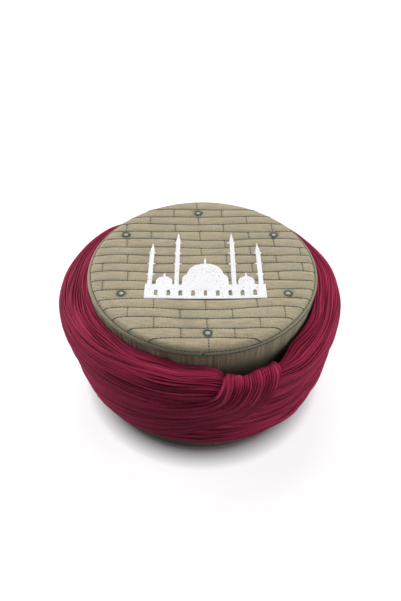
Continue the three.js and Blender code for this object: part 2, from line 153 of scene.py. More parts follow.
# Where the upper edge lies lower: depth, where round the cap, and how fast it fades on the way down
EDGE_DIPS = [
    (8.0, (0, 13, 34, 70), 6),  # into the pocket
    (3.5, (-20, -8, 7, 13), 7),  # across the front
    (5.0, (8, 11.5, 14, 24), 9),  # under the sash's upper corner
    (3.2, (14, 18, 28, 33), 9),  # under the sash
]
POCKET_WIDTH = 11.0
POCKET = (5, 17, 30, 46)
POCKET_END = (0.12, 0.5)  # on the way down
EDGE_STAND = 2.0  # the upper edge stands off the cap right of the tuck
STANDING = (32, 42, 58, 78)
STAND_END = (0.05, 0.4)
FRONT_RISE = 1.8  # of the lower edge
RISEN = (-55, -25, 30, 60)
RISE_START = (0.8, 1.0)

# Main folds of the winding: share of the way down on the left and back, the same right of the tuck, depth
WRAP_FOLDS = [
    (0.0, 0.0, 0.0), (0.075, 0.09, 0.6), (0.155, 0.185, 0.85), (0.25, 0.3, 0.7), (0.345, 0.41, 1.0),
    (0.45, 0.51, 0.65), (0.55, 0.595, 0.9), (0.655, 0.685, 0.7), (0.755, 0.77, 0.9), (0.855, 0.86, 0.6),
    (0.935, 0.935, 0.5), (1.0, 1.0, 0.0),
]
FOLD_DEPTH = 3.2
RIGHT_SWAY = (2, 28, 28, 85)
DEEPER_FOLD = 9
DEEPER = (-118, -92, -52, -25)
WRAP_PLEATS = 5  # in a fold
WRAP_FRONT = 98  # azimuth up to which the columns are close together
FRONT_STEP = 0.85
BACK_STEP = 1.9
CLOTH_RADIUS = 105.0  # turns azimuths into lengths of cloth
LIP_SHARES = [-0.2, -0.16, -0.12, -0.08, -0.05, -0.03, -0.018, -0.008]

# Across one pleat: place and height as a share of its valley's depth
PLEAT_PROFILE = [(0.0, 0.0), (0.12, 0.42), (0.3, 0.9), (0.56, 1.0), (0.85, 0.66)]
PLEAT_WIDTH = 1.9  # narrower pleats are shallower
PLEAT_DEPTHS = (0.78, 1.45)  # factors high and low on the winding

# Stations along the tucked end: azimuth and share of its upper edge, then of its lower edge
SASH_STATIONS = [
    (11.3, -0.11, 30, -0.11), (10.8, -0.06, 31.2, -0.06), (10.3, -0.02, 31.8, -0.02), (9.9, 0.0, 32, 0.0),
    (9.5, 0.03, 31.9, 0.035), (8.6, 0.08, 31, 0.105), (7.7, 0.135, 29.6, 0.185), (6.4, 0.19, 28.2, 0.26),
    (4.4, 0.245, 26.4, 0.345), (0.6, 0.29, 23.3, 0.43), (-5.5, 0.325, 18, 0.51), (-13.5, 0.36, 11, 0.565),
    (-22.5, 0.395, 2, 0.645), (-33, 0.43, -9, 0.735), (-45, 0.455, -21, 0.82), (-58, 0.47, -34, 0.895),
    (-72, 0.48, -47, 0.95),
]
SASH_THICKNESS = 3.6
SASH_CLEARANCE = 0.5
SASH_FOLDS = 8
SASH_PLEATS = 3  # in a fold
SASH_COLUMNS = 220
SASH_INNER_ROWS = 14

# The motif, a domed hall with towers. Places, heights and radii in the tables are shares of half its width
MOTIF_WIDTH = 91.0
MOTIF_X = 2.2
MOTIF_BASE_Y = -38.4
MOTIF_PITCH = 0.5
MOTIF_STITCH = 3.8
MOTIF_RADII = (0.3, 0.35)
MOTIF_LIFT = 0.42
HALL_HEIGHT = 16.0
WINDOW_WIDTH = 3.0
WINDOW_HEIGHT = 8.0
WINDOW_SILL = 3.5
WINDOW_COUNT = 9
WINDOW_SPREAD = 0.82
DOMES = [(0, 0.6, 0.31), (0.26, 0.5, 0.13), (-0.26, 0.5, 0.13), (0.69, 0.42, 0.14), (-0.69, 0.42, 0.14)]
TOWER_WIDTH = 3.6
TOWER_TIP = 11.0
TOWERS = [(0.93, 1.467), (-0.93, 1.467), (0.48, 1.756), (-0.48, 1.756)]
RING_COUNT = 3
RING_OVERHANG = 1.1
RING_HEIGHT = 2.4
RING_PITCH = 13.0
FINIAL_WIDTH = 1.3
FINIAL_TIP = 3.0
FINIALS = [(0, 1.067), (0.69, 0.667), (-0.69, 0.667)]

# Colours
# painted shade in the pleats' valleys
MUSLIN_VALLEY_SHADE = (0.06, 0.003, 0.009)
MUSLIN_DARK = (0.24, 0.0085, 0.036)
MUSLIN = (0.4, 0.0165, 0.067)
# lighter yarns, and the painted highlight on the pleats' crests
MUSLIN_YARN_AND_HIGHLIGHT = (0.56, 0.051, 0.144)
MUSLIN_SHEEN = (1.0, 0.4, 0.55)
KHAKI = (0.43, 0.37, 0.245)
KHAKI_DARK = (0.3, 0.255, 0.165)
# painted shade in the quilting's recesses and on the crown's rolled edge
KHAKI_RECESS_SHADE = (0.15, 0.14, 0.09)
# painted shade: the side's khaki is a darker copy of the crown's, for the side lying in shade under the crown
KHAKI_SIDE_SHADED = (0.275, 0.243, 0.152)
# painted shade at the foot of the rim and on the side below the winding's upper edge
KHAKI_LOW_SHADE = (0.075, 0.072, 0.04)
THREAD_GREEN = (0.028, 0.042, 0.034)
THREAD_GREEN_LIGHT = (0.06, 0.08, 0.066)
THREAD_GREEN_WORN = (0.11, 0.135, 0.115)
THREAD_WHITE = (0.93, 0.93, 0.95)
THREAD_WHITE_LIGHT = (0.97, 0.97, 0.98)
INTERLINING = (0.55, 0.49, 0.37)
FLOOR_COLOR = (0.33, 0.285, 0.31)
WHITE = (1, 1, 1, 1)

# The floor glows outside the hat's soft shade, which is partly cast and partly painted by the missing glow;
# its centre, start and end are in metres
SHADE_CENTRE = (0.0, -0.0105, 0.0)
SHADE_START = 0.0842
SHADE_END = 0.1035
FLOOR_GLOW = 0.8
FLOOR_RADIUS = 4000.0
BEND_RADIUS = 1500.0
BACKDROP_HEIGHT = 6000.0
FLOOR_SIDES = 64

# Soft distant lights: name, direction towards it, share of white on a level sheet, spread in degrees
SUNS = [
    ("key", (-0.05, 0.6, 1.0), 0.39, 26),
    ("left", (-1.0, 0.6, 0.36), 0.3, 50),
    ("right", (1.0, 0.0, 0.36), 0.27, 50),
    ("front", (0.0, -1.0, 0.3), 0.018, 60),
]
WORLD_STRENGTH = 0.14

# The photograph's camera: pixels, then crown radii, then degrees
PHOTO_HEIGHT = 601
FOCAL_LENGTH = 614.85
CAMERA_DISTANCE = 5.4154
CAMERA_SIDE = -0.0163
CAMERA_ELEVATION = 39.947
CAMERA_PITCH = 43.303
SENSOR_HEIGHT = 36.0


# Helpers
def ease(start, end, value):
    t = np.clip((value - start) / (end - start), 0, 1)
    return t * t * (3 - 2 * t)


def within(span, value):
    """1 between the two middle values of a span, easing to 0 at its ends."""
    start, full_from, full_to, end = span
    return ease(start, full_from, value) * (1 - ease(full_to, end, value))


def lerp(a, b, t):
    return a + (b - a) * t


def bell(distance, width):
    """A bell, 1 at no distance."""
    return np.exp(-((distance / width) ** 2))


def shaded(color, factor):
    return tuple(min(c * factor, 1) for c in color)


def waves(seed, *coordinates, lowest=1, highest=6, terms=9):
    """Smooth noise of about unit size, periodic over a turn in its first coordinate (in radians)."""
    rng = np.random.default_rng(seed)
    total = 0.0
    for _ in range(terms):
        around = rng.integers(lowest, highest + 1) * rng.choice([-1, 1])
        angle = around * coordinates[0] + rng.uniform(0, 2 * math.pi)
        for other in coordinates[1:]:
            angle = angle + other * rng.uniform(-1, 1)
        total = total + np.sin(angle)
    return total / math.sqrt(terms / 2)


def spline(points, count=2000):
    """Catmull-Rom curve through the points, sampled evenly in its parameter."""
    points = np.array(points, float)
    last = len(points) - 1
    t = np.linspace(0, last, count)
    i = np.minimum(t.astype(int), last - 1)
    w = (t - i)[:, None]
    p0, p1 = points[np.maximum(i - 1, 0)], points[i]
    p2, p3 = points[i + 1], points[np.minimum(i + 2, last)]
    v0, v1 = (p2 - p0) / 2, (p3 - p1) / 2
    return (2 * p1 - 2 * p2 + v0 + v1) * w**3 + (3 * p2 - 3 * p1 - 2 * v0 - v1) * w**2 + v0 * w + p1


def distance_along(points):
    """Distance along a line of points, or the mean distance down a grid's columns."""
    steps = np.linalg.norm(np.diff(points, axis=0), axis=-1)
    return np.concatenate([[0], np.cumsum(steps.reshape(len(steps), -1).mean(1))])


def outwards(angle):
    """Level directions away from the cap's axis."""
    return np.stack([np.sin(angle), -np.cos(angle), 0 * angle], -1)


def upwards(count):
    return np.tile((0.0, 0.0, 1.0), (count, 1))


def point_grid(rows, columns, closed=False):
    """The numbers of a grid's points; closed repeats its first column behind its last."""
    grid = np.arange(rows * columns).reshape(rows, columns)
    return np.column_stack([grid, grid[:, 0]]) if closed else grid


def quads_between(one, other):
    """Quads between two rows of point numbers, or between two stacks of rows."""
    return np.stack([one[..., :-1], one[..., 1:], other[..., 1:], other[..., :-1]], -1).reshape(-1, 4)


def grid_faces(rows, columns, closed=False):
    grid = point_grid(rows, columns, closed)
    return quads_between(grid[:-1], grid[1:])


def tube_faces(rows, columns):
    """Faces of a grid whose rows and columns are all closed, turned the other way round than grid_faces."""
    grid = point_grid(rows, columns, closed=True)
    return [*grid_faces(rows, columns, closed=True)[:, ::-1], *quads_between(grid[0], grid[-1])]


def make_piece(name, points, faces, material, replaces=(), uv=None, fold=None, body="root"):
    mesh = bpy.data.meshes.new(name)
    metres = np.asarray(points).reshape(-1, 3) * 0.001
    mesh.from_pydata(metres.tolist(), [], [list(map(int, f)) for f in faces])
    for title, values in (("cloth", uv), ("fold", fold)):
        if values is not None:
            layer = mesh.uv_layers.new(name=title)
            index = np.empty(len(mesh.loops), np.int32)
            mesh.loops.foreach_get("vertex_index", index)
            layer.data.foreach_set("uv", np.asarray(values, float).reshape(-1, 2)[index].ravel())
    mesh.materials.append(material)
    mesh.shade_smooth()
    mesh.update()
    piece = bpy.data.objects.new(name, mesh)
    bpy.context.scene.collection.objects.link(piece)
    if body:
        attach(piece, body)
    if replaces:
        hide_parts(*replaces)
    return piece


# Along a stitch: place, size and rise of its rings, from one rounded end to the other; None is its belly
STITCH_RINGS = [
    (0.0, 0.35, 0.0), (0.0, 0.8, 0.45), (0.18, 1.0, 1.0), (0.5, 1.0, None),
    (0.82, 1.0, 1.0), (1.0, 0.8, 0.45), (1.0, 0.35, 0.0),
]


def capsules(starts, ends, radii, normals, sides=6, flatten=1.0, belly=1.0):
    """Many stitches at once: a thread from each start to each end, round or flattened along its normal."""
    starts, ends, normals = (np.asarray(a, float).reshape(-1, 3) for a in (starts, ends, normals))
    radii = np.broadcast_to(np.asarray(radii, float), len(starts))[:, None]
    along = ends - starts
    length = np.linalg.norm(along, axis=1, keepdims=True)
    along = along / np.maximum(length, 1e-9)
    side = np.cross(along, normals)
    side /= np.maximum(np.linalg.norm(side, axis=1, keepdims=True), 1e-9)
    up = np.cross(side, along)
    points = []
    for place, size, rise in STITCH_RINGS:
        slide = {0: -0.6, 1: 0.6}.get(place, 0.0) * (1 if size < 0.5 else 0.3)
        rise = belly if rise is None else rise
        centre = starts + along * (length * place + radii * slide) + up * radii * (rise - 1) * 0.9
        for a in np.arange(sides) * 2 * math.pi / sides:
            points.append(centre + radii * size * (side * math.cos(a) + up * math.sin(a) * flatten))
    points = np.stack(points, 1)
    per = len(STITCH_RINGS) * sides
    base = np.arange(len(starts))[:, None, None] * per
    quads = grid_faces(len(STITCH_RINGS), sides, closed=True) + base
    ring = np.arange(sides)
    caps = np.stack([ring[::-1], per - sides + ring]) + base
    return points.reshape(-1, 3), [*quads.reshape(-1, 4).tolist(), *caps.reshape(-1, sides).tolist()]


def stitch_run(points, normals, stitch, seed):
    """Start, end, radius and normal of the stitches along a line of points."""
    length, gap, radius, wobble = stitch
    run = distance_along(points)
    starts = np.arange(0, run[-1] - length * 0.6, length + gap)
    ends = np.minimum(starts + length, run[-1])

    def at(places, values):
        return np.stack([np.interp(places, run, values[:, i]) for i in range(3)], -1)

    shift = np.random.default_rng(seed).normal(0, wobble, (len(starts), 3)) * (1, 1, 0)
    normal = at((starts + ends) / 2, normals)
    return at(starts, points) + shift, at(ends, points) - shift, np.full(len(starts), radius), normal


def join_runs(runs):
    return [np.concatenate([run[i] for run in runs]) for i in range(4)]


# Materials
class Nodes:
    """A small builder of node materials, which measure in metres except on the UV layers."""

    def __init__(self, name):
        self.material = bpy.data.materials.new(name)
        self.material.use_nodes = True
        self.tree = self.material.node_tree
        self.shader = self.tree.nodes["Principled BSDF"]

    def set(self, socket, value):
        """Link a socket's value, or set it as a number or colour."""
        if isinstance(value, bpy.types.NodeSocket):
            self.tree.links.new(value, socket)
        elif socket.type == "RGBA":
            socket.default_value = (*value[:3], 1.0)
        else:
            socket.default_value = value

    def add(self, kind, settings=None, **inputs):
        """Add a node; an input is named by its title, or by an underscore and its number."""
        node = self.tree.nodes.new(kind)
        for key, value in (settings or {}).items():
            setattr(node, key, value)
        for key, value in inputs.items():
            self.set(node.inputs[int(key[1:]) if key[0] == "_" else key.replace("_", " ")], value)
        return node

    def noise(self, vector, scale, detail=3.0, roughness=0.5):
        settings = {"Vector": vector, "Scale": scale, "Detail": detail, "Roughness": roughness}
        return self.add("ShaderNodeTexNoise", **settings).outputs["Fac"]

    def bands(self, vector, direction, scale, distortion, detail=2.0):
        """Parallel bands across a direction."""
        kind = {"wave_type": "BANDS", "bands_direction": direction}
        settings = {"Vector": vector, "Scale": scale, "Distortion": distortion, "Detail": detail}
        return self.add("ShaderNodeTexWave", kind, **settings).outputs["Fac"]

    def stretch(self, vector, scale):
        return self.add("ShaderNodeMapping", _0=vector, _3=scale).outputs[0]

    def math(self, operation, a, b=0.0):
        return self.add("ShaderNodeMath", {"operation": operation}, _0=a, _1=b).outputs[0]

    def remap(self, value, low, high, to_low, to_high):
        ends = {"From_Min": low, "From_Max": high, "To_Min": to_low, "To_Max": to_high}
        return self.add("ShaderNodeMapRange", Value=value, **ends).outputs[0]

    def mix(self, factor, a, b):
        return self.add("ShaderNodeMix", {"data_type": "RGBA"}, _0=factor, _6=a, _7=b).outputs[2]

    def tint(self, tone, color, value, low, high, amount):
        """Mix a colour into a tone as a value goes from low to high."""
        return self.mix(self.remap(value, low, high, 0.0, amount), tone, color)

    def part(self, vector, index):
        return self.add("ShaderNodeSeparateXYZ", _0=vector).outputs[index]

    def place(self):
        return self.add("ShaderNodeTexCoord").outputs["Object"]

    def uv(self, title):
        return self.add("ShaderNodeUVMap", {"uv_map": title}).outputs[0]

    def relief(self, height, distance, strength):
        bumps = self.add("ShaderNodeBump", Strength=strength, Distance=distance, Height=height)
        self.set(self.shader.inputs["Normal"], bumps.outputs[0])

    def finish(self, color, roughness, sheen=0.0, sheen_roughness=0.5, specular=0.3, tint=(1, 1, 1)):
        values = {
            "Base Color": color, "Roughness": roughness, "Specular IOR Level": specular,
            "Sheen Weight": sheen, "Sheen Roughness": sheen_roughness, "Sheen Tint": tint,
        }
        for title, value in values.items():
            self.set(self.shader.inputs[title], value)
        return self.material


def muslin():
    """Burgundy muslin. UV layer "cloth" runs along the pleats in u and across them in v, in millimetres;
    layer "fold" holds each point's depth below the smooth surface and its pleat's number. The depth paints
    shade into the pleats' valleys and a highlight onto their crests."""
    n = Nodes("burgundy_muslin")
    uv, fold = n.uv("cloth"), n.uv("fold")
    deep, number = n.part(fold, 0), n.part(fold, 1)
    yarns = n.noise(n.stretch(uv, (0.03, 1.9, 1.0)), 1.0, 2.0, 0.6)
    fine = n.noise(n.stretch(uv, (0.3, 3.4, 1.0)), 1.0, 1.0)
    place, apart = n.math("MULTIPLY", n.part(uv, 0), 0.03), n.math("MULTIPLY", number, 3.7)
    pleat = n.noise(n.add("ShaderNodeCombineXYZ", _0=place, _1=apart).outputs[0], 1.0, 1.0)
    weave = n.bands(n.stretch(uv, (1.3, 0.12, 1.0)), "X", 1.0, 1.2)
    tone = n.tint(MUSLIN_DARK, MUSLIN, pleat, 0.3, 0.7, 1.0)
    tone = n.tint(tone, MUSLIN_YARN_AND_HIGHLIGHT, yarns, 0.36, 0.7, 0.6)
    tone = n.tint(tone, MUSLIN_DARK, fine, 0.35, 0.7, 0.55)
    # painted shade in the pleats' valleys, by their depth below the smooth surface
    tone = n.tint(tone, MUSLIN_VALLEY_SHADE, deep, 0.25, 0.85, 0.95)
    # painted highlight on the pleats' crests
    tone = n.tint(tone, MUSLIN_YARN_AND_HIGHLIGHT, deep, 0.12, -0.25, 0.42)
    threads = n.math("ADD", n.math("MULTIPLY", fine, 0.45), n.math("MULTIPLY", weave, 0.12))
    n.relief(n.math("ADD", n.math("MULTIPLY", yarns, 0.8), threads), distance=0.0006, strength=0.8)
    rough = n.remap(fine, 0.3, 0.7, 0.62, 0.8)
    return n.finish(tone, rough, sheen=0.14, sheen_roughness=0.35, specular=0.08, tint=MUSLIN_SHEEN)


def cotton(name, light, dark, ribs=0.5, recess_shade=None, hem=None):
    """Khaki cotton with ribs across it, slubs and a little fading. The recess colour is painted shade down in
    the quilting and on the crown's rolled edge; the hem colour is painted shade at the foot of the rim and on
    the side below the winding's upper edge, under the crown's seam."""
    n = Nodes(name)
    place = n.place()
    rib = n.bands(place, "Y", 420.0, 1.5, 1.0)
    slub = n.noise(n.stretch(place, (120.0, 900.0, 900.0)), 1.0, 2.0)
    across = n.noise(n.stretch(place, (1400.0, 500.0, 500.0)), 1.0, 1.0)
    patch = n.noise(place, 30.0, 4.0)
    grain = n.noise(place, 950.0, 2.0, 0.7)
    tone = n.tint(dark, light, slub, 0.3, 0.7, 1.0)
    tone = n.tint(tone, light, patch, 0.35, 0.7, 0.35)
    tone = n.tint(tone, shaded(dark, 0.62), grain, 0.42, 0.3, 0.7)
    tone = n.tint(tone, shaded(light, 1.25), grain, 0.58, 0.72, 0.5)
    # painted shade: darker towards the rim's foot, and on the side below the winding's upper edge where the
    # pocket shows it
    if hem:
        height_up = n.part(place, 2)
        tone = n.tint(tone, hem, height_up, 0.012, 0.005, 0.8)
        tone = n.tint(tone, hem, height_up, 0.101, 0.088, 0.9)
    # painted shade in the quilting's recesses and on the crown's rolled edge, from the depth in UV layer fold
    if recess_shade:
        tone = n.tint(tone, recess_shade, n.part(n.uv("fold"), 0), 0.15, 1.0, 0.62)
    threads = n.math("ADD", slub, n.math("MULTIPLY", across, 0.6))
    n.relief(n.math("ADD", n.math("MULTIPLY", rib, ribs), threads), distance=0.00022, strength=0.7)
    return n.finish(tone, n.remap(slub, 0.3, 0.7, 0.78, 0.92), sheen=0.15, specular=0.2)


def thread(name, dark, light, roughness=0.5):
    n = Nodes(name)
    twist = n.noise(n.stretch(n.place(), (1.0, 1.0, 2.0)), 1500.0, 2.0)
    n.relief(twist, distance=0.00012, strength=0.6)
    return n.finish(n.tint(dark, light, twist, 0.35, 0.65, 1.0), roughness, sheen=0.1, specular=0.4)


def glowing_floor():
    """White paper that glows outside the hat's soft shade; the shade is partly cast and partly painted by the
    missing glow.
    """
    n = Nodes("white_paper")
    measure = n.add("ShaderNodeVectorMath", {"operation": "DISTANCE"}, _0=n.place(), _1=SHADE_CENTRE)
    glow = n.remap(measure.outputs["Value"], SHADE_START, SHADE_END, 0.0, FLOOR_GLOW)
    n.set(n.shader.inputs["Emission Color"], WHITE)
    n.set(n.shader.inputs["Emission Strength"], glow)
    return n.finish(FLOOR_COLOR, 0.8)


# The cap's side
def band_radius(height):
    return RIM_RADIUS - BAND_TAPER * height / HEIGHT


def on_cap(azimuth, out, height):
    """Points at a distance out from the cap's side."""
    radius = band_radius(height) + out
    angle = np.radians(azimuth)
    return np.stack([radius * np.sin(angle), -radius * np.cos(angle), height + 0 * radius], -1)


def band_outside(azimuth, heights):
    """Rows of points: the hem, the closing seam, soft ripples and the gathers below the crown's seam."""
    angle = np.radians(azimuth)
    puckers = waves(24, angle, lowest=105, highest=175, terms=14)
    ripples = 0.5 * waves(21, angle, lowest=18, highest=48, terms=14)
    ripples = ripples + 0.3 * waves(22, angle, lowest=5, highest=14)
    left = within(GATHERED, azimuth)
    closing = -0.55 * bell(azimuth - CLOSING_SEAM, 0.45) + 0.35 * bell(azimuth - CLOSING_SEAM - 1.3, 1.1)
    rows = []
    for h in heights:
        ripple = 0.6 * ripples * ease(*RIPPLE_START, h) * (0.35 + 0.65 * left)
        bulge = -0.55 * bell(h - SEAM_HEIGHT - 0.2, 1.1) + 0.35 * bell(h - SEAM_HEIGHT + 3.2, 2.4)
        hem = HEM_STAND * (1 - ease(*HEM_END, h)) - 0.3 * bell(h - HEM_STITCH_HEIGHT, 0.5)
        gather = GATHER_DEPTH * puckers * within(GATHER_HEIGHTS, h) * (0.25 + 0.75 * left)
        rows.append(on_cap(azimuth, ripple + gather + bulge + closing * 0.8 + hem - 0.35, h))
    return np.stack(rows)


def build_band(material, thread_material):
    """The cap's side: outside, hem, inside and the top edge under the crown, with its closing seam."""
    azimuth = np.linspace(-180, 180, BAND_COLUMNS, endpoint=False)
    top = SEAM_HEIGHT + 0.6
    heights = np.concatenate([np.linspace(0.3, 8, 12), np.linspace(9, 86, 20), np.linspace(87.5, top, 34)])
    rim = [on_cap(azimuth, out + 0 * azimuth, 0.02) for out in (0.9, 0.5 - BAND_WALL)]
    lining = 0.1 - BAND_WALL + 0.12 * waves(23, np.radians(azimuth), highest=9)
    inside = [on_cap(azimuth, lining - 0.25 * ease(9.5, 8.2, h), h) for h in heights[::3]]
    points = np.concatenate([band_outside(azimuth, heights)[::-1], rim, inside])
    make_piece("cap_side", points, tube_faces(*points.shape[:2]), material, ["side_band"])
    # topstitching beside the closing seam and round the hem
    h = np.linspace(8.5, SEAM_HEIGHT - 1.5, 200)
    beside = np.full(200, CLOSING_SEAM + 2.3)
    turn = np.append(azimuth, 180)
    ring = on_cap(turn, 1.1 + 0 * turn, HEM_STITCH_HEIGHT)
    runs = [
        stitch_run(on_cap(beside, 0.05 + 0 * h, h), outwards(np.radians(beside)), CLOSING_STITCH, 71),
        stitch_run(ring, outwards(np.radians(turn)), HEM_STITCH, 72),
    ]
    points, faces = capsules(*join_runs(runs), sides=5)
    make_piece("side_thread", points, faces, thread_material)


# The quilted crown
def seam_y(row):
    return ROW_OFFSET + row * ROW_PITCH


def seam_wander(row, x, u):
    """How far a row's seam strays from level; u is its place between -1 and 1 over the crown."""
    droop = np.where(u < 0, LEFT_DROOP * u**8, RIGHT_DROOP * u**14) * (1 - 0.5 * ease(20, 60, seam_y(row)))
    stray = 0.55 * waves(60 + int(row) * 3, x / 60.0, lowest=1, highest=5, terms=6)
    return (stray - droop) * (1 - np.abs(u) ** 30)


def seam_line(row, x):
    half = math.sqrt(max((CROWN_RADIUS + CROWN_OVERHANG) ** 2 - seam_y(row) ** 2, 4))
    return seam_y(row) + seam_wander(row, x, np.clip(x / half, -1, 1))


def eyelet_place(side, rows):
    y = seam_y(rows)
    return side * EYELET_CIRCLE_RADIUS + QUILT_SKEW * y, y


EYELET_PLACES = [eyelet_place(side, rows) for _, side, rows in EYELETS]


def crown_base(x, y):
    """The crown's height without its quilting: rounded at the edge and slightly dished in the middle."""
    r = np.hypot(x, y)
    flat = CROWN_RADIUS - PANEL_SHOULDER
    out = np.clip((r - flat) / (PANEL_SHOULDER + CROWN_OVERHANG), 0, 1)
    dish = DISH_DEPTH * (1 - np.clip(r / flat, 0, 1) ** 2) ** 1.5
    return PANEL_TOP - SHOULDER_FALL * (1 - np.clip(1 - out**SHOULDER_OUT, 0, 1) ** SHOULDER_DOWN) - dish


def shoulder_radius(height):
    """How far out the crown's shoulder lies at a height."""
    share = np.clip(1 - (PANEL_TOP - height) / SHOULDER_FALL, 0, 1)
    out = (1 - share ** (1 / SHOULDER_DOWN)) ** (1 / SHOULDER_OUT)
    return CROWN_RADIUS - PANEL_SHOULDER + (PANEL_SHOULDER + CROWN_OVERHANG) * out


def puff(t):
    """How far the padding rises at a place across a sewn row: 0 at its seams, 1 in its middle."""
    return np.clip(4 * t * (1 - t), 0, 1) ** ROW_ROUNDING


def joints_of(row):
    """x of the short cross seams in the row above a seam, at that row's middle."""
    middle = seam_y(row + 0.5)
    reach = math.sqrt(max((CROWN_RADIUS - 8) ** 2 - middle**2, 0))
    if middle < 9 - CROWN_RADIUS:
        reach = FRONT_JOINT_REACH
    length = BRICK_LENGTH * (1 + (0.0008 if middle > -30 else 0.0003) * (middle + 30))
    centre = QUILT_SKEW * middle - 0.02 * max(middle - 50, 0)
    shift = 0.0 if row % 2 else 0.5
    places = [(n + shift) * length + centre for n in range(-3, 4)]
    beside = [ex for ex, ey in EYELET_PLACES if abs(ey - middle) < 3]
    return [x for x in places if abs(x) < reach and all(abs(x - ex) > 9 for ex in beside)]


def ring_radius(angle):
    """The ring of topstitching lies a little further out at the front, the back and the front right."""
    wider = 0.4 + 1.6 * np.cos(angle) ** 2 + 0.8 * within(RING_WIDER, np.degrees(angle))
    return CROWN_RADIUS - EDGE_STITCH_INSET + wider


def outside_ring(x, y):
    """Distance beyond the ring of topstitching."""
    return np.hypot(x, y) - ring_radius(np.arctan2(x, -y))


def edge_relief(x, y):
    """The dent that the ring of topstitching pulls in the crown's shoulder."""
    beyond = outside_ring(x, y)
    return 0.3 * bell(beyond + 3.0, 1.6) - 0.85 * bell(beyond, 1.0)


def crown_height(x, y, row, t):
    """Height of the quilting. row and t: the sewn row that a point is in and its place across it."""
    edge = CROWN_RADIUS - EDGE_STITCH_INSET
    inside = 1 - ease(edge - 6, edge + 0.5, np.hypot(x, y))
    padding = puff(t)
    height = (padding - 1) * ROW_DEPTH * inside
    height = height + 0.12 * waves(12, x / 28.0, y / 9.0, terms=12) * inside
    for n in np.unique(row):
        for place in joints_of(int(n)):
            near = bell(x - place - QUILT_SKEW * (y - seam_y(n + 0.5)), JOINT_WIDTH)
            height = height - np.where(row == n, JOINT_DEPTH * near * padding, 0) * inside
    for ex, ey in EYELET_PLACES:
        away = np.maximum(np.hypot(x - ex, y - ey) - 4.0, 0)
        height = height - 0.35 * bell(away, 2.2) * padding
    return height + edge_relief(x, y)


def crown_lines(radius):
    """The crown mesh's rows of points: sewn row and place across it, closer together at both ends."""
    first, last = math.floor((-radius - ROW_OFFSET) / ROW_PITCH), math.ceil((radius - ROW_OFFSET) / ROW_PITCH)
    lines = [(row, t) for row in range(first, last) for t in ROW_SHARES]
    lines = [(row, t) for row, t in lines if abs(lerp(seam_y(row), seam_y(row + 1), t)) < radius - 1.2]
    for bound in (-radius, radius):
        row = math.floor((bound - ROW_OFFSET) / ROW_PITCH)
        inset = [bound * (1 - short / radius) for short in (0.8, 0.45, 0.2, 0.06, 0.01)]
        more = [(row, (y - seam_y(row)) / ROW_PITCH) for y in inset]
        lines = more[::-1] + lines if bound < 0 else lines + more
    return lines


def hole_ring(place, radius, angle, height):
    """Points round an eyelet's middle."""
    x, y = place[0] + radius * np.cos(angle), place[1] + radius * np.sin(angle)
    return np.stack([x, y, height + 0 * x], -1)


def cut_hole(piece, place, material):
    sides = HOLE_SIDES
    turn = np.arange(sides) * 2 * math.pi / sides
    low = crown_base(*place) - EYELET_DEPTH
    drill = [hole_ring(place, EYELET_HOLE_RADIUS, turn, height) for height in (low, HEIGHT + 7)]
    ends = [list(range(sides - 1, -1, -1)), list(range(sides, 2 * sides))]
    faces = [*grid_faces(2, sides, closed=True), *ends]
    tool = make_piece("drill", np.concatenate(drill), faces, material, body=None)
    cut = piece.modifiers.new("hole", "BOOLEAN")
    cut.operation, cut.solver, cut.object = "DIFFERENCE", "MANIFOLD", tool
    with bpy.context.temp_override(object=piece, active_object=piece, selected_objects=[piece]):
        bpy.ops.object.modifier_apply(modifier="hole")
    bpy.data.objects.remove(tool)


def build_crown(material):
    radius = CROWN_RADIUS + CROWN_OVERHANG
    even = np.linspace(-1, 1, CROWN_COLUMNS)
    spread = 0.72 * even + 0.28 * np.sin(even * math.pi / 2)
    lines = crown_lines(radius)
    top = []
    for row, t in lines:
        nominal = lerp(seam_y(row), seam_y(row + 1), t)
        x = spread * math.sqrt(max(radius**2 - nominal**2, 0.01))
        y = nominal + lerp(seam_wander(row, x, spread), seam_wander(row + 1, x, spread), t)
        half = np.sqrt(np.maximum(radius**2 - x**2, 0))
        top.append(np.stack([x, np.clip(y, -half, half)], -1))
    x, y = np.moveaxis(np.stack(top), -1, 0)
    row, t = (np.array([line[i] for line in lines], float)[:, None] + 0 * x for i in range(2))
    quilting = crown_height(x, y, row, t)
    scale = (CROWN_RADIUS - 0.3) / radius
    upper = np.stack([x, y, crown_base(x, y) + quilting], -1)
    lower = np.stack([x * scale, y * scale, SEAM_HEIGHT + 0.35 * (1 - puff(t))], -1)
    rows, columns = x.shape
    faces = grid_faces(rows, columns)
    grid = point_grid(rows, columns)
    rim = np.concatenate([grid[0], grid[1:, -1], grid[-1, -2::-1], grid[-2::-1, 0]])
    wall = quads_between(rim + x.size, rim)
    # the fold layer's depth below the quilting's puffs, plus a band on the rolled edge beyond the ring and
    # the full depth underneath, paints shade there
    edge_shade = 0.4 * ease(0, 1.2, outside_ring(x, y))
    shade_depth = np.concatenate([(edge_shade - quilting).ravel(), np.ones(x.size)])
    points = np.concatenate([upper.reshape(-1, 3), lower.reshape(-1, 3)])
    faces = [*faces, *(faces[:, ::-1] + x.size), *wall]
    fold = np.stack([shade_depth, 0 * shade_depth], -1)
    piece = make_piece("quilted_crown", points, faces, material, ["crown_panel"], fold=fold)
    for place in EYELET_PLACES:
        cut_hole(piece, place, material)
    return piece


